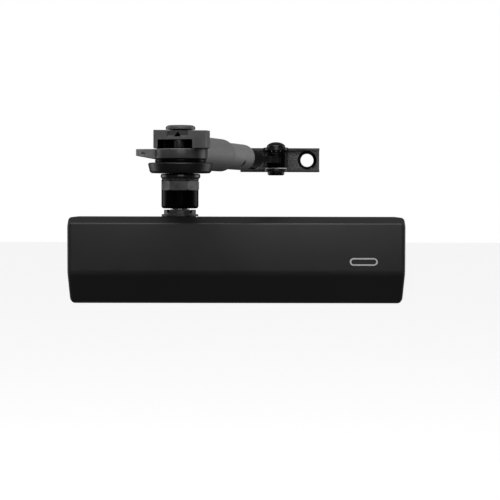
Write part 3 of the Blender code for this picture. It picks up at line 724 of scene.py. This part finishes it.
def make_main_arm():
    """A forging: deep hub, ribbed blade and a thin round eye, melted into one skin, then bored."""
    low, high = span("main_arm")
    hub_radius, blade_start = 13.3, 2.0
    hub = lathe([(0, low), (hub_radius, low, 1.8), (hub_radius, high - 0.1, 1.4), (0, high - 0.1)], 80)
    upper = prism(blade_outline(10.9, 11.7, blade_start, MAIN_LENGTH), high - 2.75, high - 0.12)
    lower = prism(blade_outline(9.8, 7.8, blade_start, MAIN_LENGTH - 22.0), high - 6.8, high - 1.0)
    arm = to_object("main_arm_forging", hub, upper, lower)
    forge(arm, 0.45, 5)
    socket = prism(polygon(4, 11.6), 30.0, 60.0)
    eye = moved(disc(BOLT_HOLE, 50.0, 60.0), at(MAIN_LENGTH))
    cut(arm, socket, disc(9.4, high - 3.7, 62.0), eye)
    place(arm, "arm_paint", "spindle", "main_arm", matrix=ON_MAIN, sharp=math.radians(38))
    # painted sheen: the far half of the eye gets a lighter, glossier copy of the arm's black so its edges catch
    # highlights
    paint_part(arm, "eye_painted_sheen", lambda spot: (ON_MAIN.inverted() @ spot).x > MAIN_LENGTH)


def make_arm_screw():
    """The socket screw and the washer that hold the main arm on its spindle."""
    low, high = span("arm_screw")
    head = [
        (0, low), (2.6, low), (3.0, low + 0.6), (3.0, 55.6, 0.2), (6.2, 55.7, 0.2), (6.2, high, 0.7),
        (3.2, high, 0.3), (2.9, high - 0.4), (0, high - 0.4),
    ]
    screw = to_object("arm_screw_turned", lathe(head, 64))
    cut(screw, prism(polygon(6, 5.0), high - 2.2, high + 3.0))
    place(screw, "black_zinc", "spindle", "arm_screw", matrix=ON_MAIN)
    low, high = span("arm_screw_washer")
    section = [(4.0, low, 0.15), (8.8, low, 0.3), (8.8, high, 0.25), (4.0, high, 0.15)]
    washer = to_object("arm_washer_stamped", lathe(section))
    place(washer, "black_zinc", "spindle", "arm_screw_washer", matrix=ON_MAIN)


# ---------------------------------------------------------------- elbow


def make_elbow_nut():
    """A hexagon nut with its corners rounded off and a countersunk bore."""
    low, high = span("elbow_nut")
    across_flats, turn = 19.0, math.radians(-6.5)
    nut = to_object("elbow_nut_hexagon", prism(polygon(6, across_flats, turn), low, high))
    shoulder = [(0, low), (10.0, low), (11.2, low + 0.6), (11.2, high - 0.6), (10.0, high), (0, high)]
    combine(nut, "INTERSECT", lathe(shoulder))
    bore = [
        (0, low - 1), (7.2, low - 1), (BOLT_HOLE, low + 0.7), (BOLT_HOLE, high - 0.7), (7.2, high + 1),
        (0, high + 1),
    ]
    cut(nut, lathe(bore))
    place(bevel(nut, 0.35, 3, 20), "nut_zinc", "clamp_nut", "elbow_nut", matrix=AT_EYE)


def make_elbow_stack():
    """Bolt, spring washer, dished disc and friction washer."""
    low, high = span("elbow_bolt")
    neck = high - 2.5
    bolt = [
        (0, low), (5.0, low, 0.2), (5.8, low + 0.8), (5.8, neck), (8.7, neck + 0.1, 0.3),
        (8.7, high - 0.9, 0.5), (7.4, high, 0.7), (0, high),
    ]
    body = to_object("elbow_bolt_turned", lathe(bolt, 80))
    place(body, "bolt_steel", "spindle", "elbow_bolt", matrix=AT_EYE)
    # painted shade: the shank below the head, where it shows in the forearm head's window, gets the near-black arm
    # paint
    paint_part(body, "arm_paint", lambda spot: spot.z < neck - 0.1)
    low, high = span("elbow_spring_washer")
    section = [
        (BOLT_HOLE, low + 0.1), (9.9, low, 0.3), (10.9, low + 0.35, 0.1), (10.9, high, 0.15),
        (BOLT_HOLE, high),
    ]
    washer = to_object("spring_washer_stamped", lathe(section))
    place(washer, "bolt_steel", "spindle", "elbow_spring_washer", matrix=AT_EYE)
    low, high = span("index_disc")
    section = [
        (BOLT_HOLE, low), (17.2, low, 0.5), (18.1, low + 0.9, 0.8), (19.1, high - 0.7, 0.5),
        (18.5, high, 0.4), (15.6, high, 0.2), (15.3, high - 0.25, 0.2), (BOLT_HOLE, high - 0.25),
    ]
    dish = to_object("index_disc_pressed", lathe(section, 128))
    place(dish, "disc_paint", "spindle", "index_disc", matrix=AT_EYE)
    low, high = span("friction_washer")
    section = [(BOLT_HOLE, low), (15.0, low, 0.3), (15.0, high, 0.3), (BOLT_HOLE, high)]
    washer = to_object("friction_washer_cut", lathe(section))
    place(washer, "arm_paint", "spindle", "friction_washer", matrix=AT_EYE)


def make_hold_open_plate():
    """The detent plate with its finger tab and a dimple in the tab."""
    low, high = span("hold_open_plate")
    high += 0.15
    radius, tab = 15.6, 26.0  # the tab's length is measured from the elbow's axis
    tab_turn = math.pi - math.radians(4) - math.atan2(REACH.y, REACH.x)
    turn = AT_EYE @ Matrix.Rotation(tab_turn, 4, "Z")
    rim = arc(0, 0, radius, 22, 337, 90)
    outline = [(tab - 1.4, -5.9, 1.2), (tab, -3.4, 1.5), (tab, 3.5, 1.5), (tab - 1.2, 4.9, 1.2), *rim]
    plate = to_object("hold_open_plate_pressed", prism(outline, low, high))
    slope = prism([(14.5, low - 0.3), (29.0, low - 0.3), (29.0, low + 2.4)], -8.0, 8.0)
    dimple = moved(disc(1.0, 4.2, 9.0, 32), at(21.6, 0, low + 2.7) @ ALONG_Y)
    cut(plate, moved(slope, UPRIGHT_X), disc(BOLT_HOLE, 60.0, 80.0), dimple)
    place(bevel(plate, 0.4, 3), "plate_paint", "detent_plate", "hold_open_plate", matrix=turn)

    def painted_highlight_faces(spot):
        return (turn.inverted() @ spot).xy.length > radius + 0.1 or high - 0.4 < spot.z < high - 0.02

    # painted highlight: the tab and the plate's top edge get a lighter copy of the plate's black, as if lit
    paint_part(plate, "plate_painted_highlight", painted_highlight_faces)


# ---------------------------------------------------------------- forearm


def make_forearm_head():
    """The forged bridge over the elbow with its socket, cut for the window, recess, mark and bolt."""
    left, right, front, low, top = 12.1, -20.7, -13.5, 72.2, 83.2
    outline = [
        (front, right), (front + 6.6, right, 2.0), (19.0, -9.4, 4.0), (26.0, -8.9), (26.0, 8.9),
        (19.0, 9.4, 3.0), (8.0, left, 3.0), (front, left),
    ]
    bridge = prism(outline, low, top)
    socket = [
        (0, 20.0), (10.3, 20.0, 1.2), (10.35, 40.0), (10.35, 72.6), (9.9, 74.8, 0.8), (9.0, 75.9, 0.5),
        (0, 75.9),
    ]
    head = to_object("forearm_head_forging", bridge, moved(lathe(socket, 80), ON_BORE))
    forge(head, 0.42, 4)
    slope = prism([(-30.0, 82.1), (30.0, 83.4), (30.0, 95.0), (-30.0, 95.0)], -25.0, 40.0)
    slope = moved(slope, Matrix.Rotation(math.pi / 2, 4, "Z") @ UPRIGHT_X)
    window_right, window_left, window_top = -12.2, 9.3, 77.4
    opening = [
        (-20.0, window_right), (-4.4, window_right, 1.0), (-4.4, window_left, 1.0), (-20.0, window_left),
    ]
    window = prism(opening, 69.0, window_top)
    recess_back, recess_right, recess_left = -10.9, -9.5, 3.6
    recess = [(-20.0, 75.6), (recess_back, 79.8), (recess_back, 95.0), (-20.0, 95.0)]
    recess = moved(prism(recess, -recess_left, -recess_right), UPRIGHT_X)
    mark_y, mark_half, mark_low, mark_high = -2.3, 2.2, 79.0, 82.0
    mark = prism([(-mark_half, mark_low), (mark_half, mark_low), (0.0, mark_high)], 8.0, 20.0)
    mark = moved(mark, at(0, mark_y) @ Matrix.Rotation(-math.pi / 2, 4, "Z") @ UPRIGHT_X)
    pin_hole = moved(disc(1.4, 70.0, 80.3), AT_ROLLER)
    bore = moved(lathe([(0, 38.0), (8.9, 38.0), (8.9, 75.0), (9.4, 77.0), (0, 77.0)]), ON_BORE)
    cut(head, slope, window, recess, mark, pin_hole, disc(BOLT_HOLE, 60.0, 95.0), bore)
    place(head, "head_paint", "forearm", "forearm_head", matrix=ON_FOREARM, sharp=math.radians(40))

    def in_shade(spot):
        x, y, z = ON_FOREARM.inverted() @ spot
        in_window = front + 0.3 < x < 19.0 and window_right - 0.1 < y < window_left + 0.1
        in_mark = -10.8 < x < -7.9 and abs(y - mark_y) < mark_half + 0.1
        return in_window and low < z < window_top + 0.1 or in_mark and mark_low - 0.1 < z < mark_high + 0.1

    def recess_painted_shade(spot):
        x, y, z = ON_FOREARM.inverted() @ spot
        return abs(x - recess_back) < 0.1 and recess_right - 0.1 < y < recess_left + 0.1 and z > 79.7

    # painted shade: the recess's back wall under the bolt head gets the plate's darker black
    paint_part(head, "plate_paint", recess_painted_shade)
    # partly painted shade: the socket has the tube's grey paint, in a darker copy so the step to the tube shows
    paint_part(head, "socket_painted_shade", lambda spot: (ON_FOREARM.inverted() @ spot).x > 19.6)
    paint_part(head, "arm_paint", in_shade)


def make_tube():
    """The inner tube: a rolled far end and a dog screw that locks the rod's length."""
    inside, outside, near, far = 6.4, 8.6, 38.8, 122.0
    section = [
        (inside, far, 0.3), (7.3, far, 0.5), (8.5, far - 1.8, 1.5), (outside, far - 5.0), (outside, near),
        (inside, near),
    ]
    tube = to_object("forearm_tube_drawn", moved(lathe(section), ON_BORE))
    spot = at(100.0, 0, FOREARM_Z) @ Matrix.Rotation(math.radians(125), 4, "X")
    cut(tube, moved(disc(2.7, 4.0, 12.0), spot))
    place(tube, "grey_tube", "forearm", "forearm_tube", matrix=ON_FOREARM)
    screw = to_object("lock_screw_turned", lathe([(0, 6.4), (2.4, 6.4, 0.3), (2.4, 8.4, 0.3), (0, 8.4)], 48))
    cut(screw, prism(polygon(6, 2.5), 7.0, 9.0))
    place(screw, "black_zinc", "lock_screw", "length_lock_screw", matrix=ON_FOREARM @ spot)


def make_roller():
    """The hold-open roller and the pin it turns on."""
    low, high = span("detent_roller")
    wheel = lathe([(1.5, low, 0.2), (3.2, low, 0.5), (3.2, high, 0.5), (1.5, high, 0.2)], 64)
    spot = ON_FOREARM @ AT_ROLLER
    place(to_object("detent_roller_turned", wheel), "roller_steel", "roller", "detent_roller", matrix=spot)
    low, high = span("roller_pin")
    pin = lathe([(0, low), (1.1, low, 0.2), (1.1, high, 0.2), (0, high)], 32)
    place(to_object("roller_pin_turned", pin), "bright_steel", "forearm", "roller_pin", matrix=spot)


def make_rod():
    """The adjusting rod: a turned bar, a flattened neck and the eye that turns on the bracket's rivet."""
    bar = [(0, 78.0), (6.1, 78.0, 0.8), (6.1, 146.5), (5.9, 148.6, 1.5), (4.6, 150.0, 0.8), (0, 150.0)]
    shank = moved(lathe(bar, 64), ON_BORE)
    neck = block((145.0, -5.1, FOREARM_Z - 2.35), (FOREARM_LENGTH - 4.0, 5.1, FOREARM_Z + 2.35))
    low, high = FOREARM_Z - 5.2, FOREARM_Z + 6.1
    eye = moved(lathe([(0, low), (8.5, low, 1.0), (8.5, high, 1.6), (0, high)], 64), at(FOREARM_LENGTH))
    rod = to_object("adjusting_rod_forging", shank, neck, eye)
    forge(rod, 0.36, 5)
    cut(rod, moved(disc(4.4, low - 5, high + 5), at(FOREARM_LENGTH)))
    place(rod, "rod_steel", "rod", "adjusting_rod", matrix=ON_FOREARM, sharp=math.radians(42))
    # painted shade: the bar and the eye get the dull, near-black arm paint and only the neck keeps the glossier
    # rod steel, so the eye shows a dark core
    paint_part(rod, "arm_paint", lambda spot: not 151.0 < (ON_FOREARM.inverted() @ spot).x < 170.0)


# ---------------------------------------------------------------- frame bracket


def make_bracket():
    """The pressed shoe with its rims, ears and countersunk holes."""
    low, high = span("frame_bracket")
    left, right, middle_z = -25.7, 32.0, (low + high) / 2
    base, face, edge, rim = 15.0, 12.0, 9.4, 1.9
    hole_offset, hole_depth = 20.0, 8.0
    round_end = arc(0, 0, 8.7, 180, 360, 40)
    ear = [(-9.2, face + 1), (-9.2, edge, 0.8), *round_end, (9.2, edge, 0.8), (9.2, face + 1)]
    shoe = to_object("bracket_pressing", block((left, face, low), (right, base, high)))
    for bottom, top in ((low, low + rim), (high - rim, high)):
        join(shoe, block((left, edge, bottom), (right, face + 1, top)), prism(ear, bottom, top))
    for side in (-1, 1):
        sink = [(0, -hole_depth), (6.9, -hole_depth), (6.9, -3.0), (4.75, -1.2), (4.75, 5.0), (0, 5.0)]
        hole_x = (left + right) / 2 + side * hole_offset
        cut(shoe, moved(lathe(sink, 80), at(hole_x, base, middle_z) @ ALONG_Y))
    cut(shoe, disc(4.3, low - 5, high + 5))
    place(bevel(shoe, 0.45, 3), "bracket_paint", "bracket", "frame_bracket", matrix=AT_PIVOT)

    def countersink_painted_shade(spot):
        spot = AT_PIVOT.inverted() @ spot
        return math.hypot(abs(spot.x - (left + right) / 2) - hole_offset, spot.z - middle_z) < 6.85

    def on_rim(spot):
        return (AT_PIVOT.inverted() @ spot).y < face - 0.1 and not countersink_painted_shade(spot)

    # painted shade: the countersunk holes get the near-black rod steel in place of the bracket's speckled paint
    paint_part(shoe, "rod_steel", countersink_painted_shade)
    # the rims' front faces get a plain black, darker than the speckled base
    paint_part(shoe, "rim_darker", on_rim)


def make_rivet():
    """The domed rivet that the rod's eye turns on, and the nylon washer under the eye."""
    low, high = span("bracket_rivet")
    crown_radius, crown_height, crown_steps = 6.8, 3.7, 16
    angles = [math.pi / 2 * k / crown_steps for k in range(crown_steps)]
    shoulder = high - crown_height
    crown = [(crown_radius * math.cos(a), shoulder + crown_height * math.sin(a)) for a in angles]
    rivet = [(0, low), (5.2, low, 0.3), (6.1, low + 0.8, 0.5), (6.1, low + 2.3), (4.0, low + 2.3)]
    rivet += [(4.0, shoulder), *crown, (0, high)]
    place(to_object("rivet_set", lathe(rivet, 72)), "rod_steel", "bracket", "bracket_rivet", matrix=AT_PIVOT)
    low, high = span("pivot_washer")
    high += 0.3
    washer = lathe([(4.4, low, 0.1), (7.9, low, 0.2), (7.9, high, 0.2), (4.4, high, 0.1)])
    place(to_object("pivot_washer_moulded", washer), "nylon", "bracket", "pivot_washer", matrix=AT_PIVOT)


make_camera()
make_studio()
finish_cad_nodes()
make_cover()
make_cover_mark()
make_gland()
make_spring()
make_left_plug()
make_main_arm()
make_arm_screw()
make_elbow_nut()
make_elbow_stack()
make_hold_open_plate()
make_forearm_head()
make_tube()
make_roller()
make_rod()
make_bracket()
make_rivet()
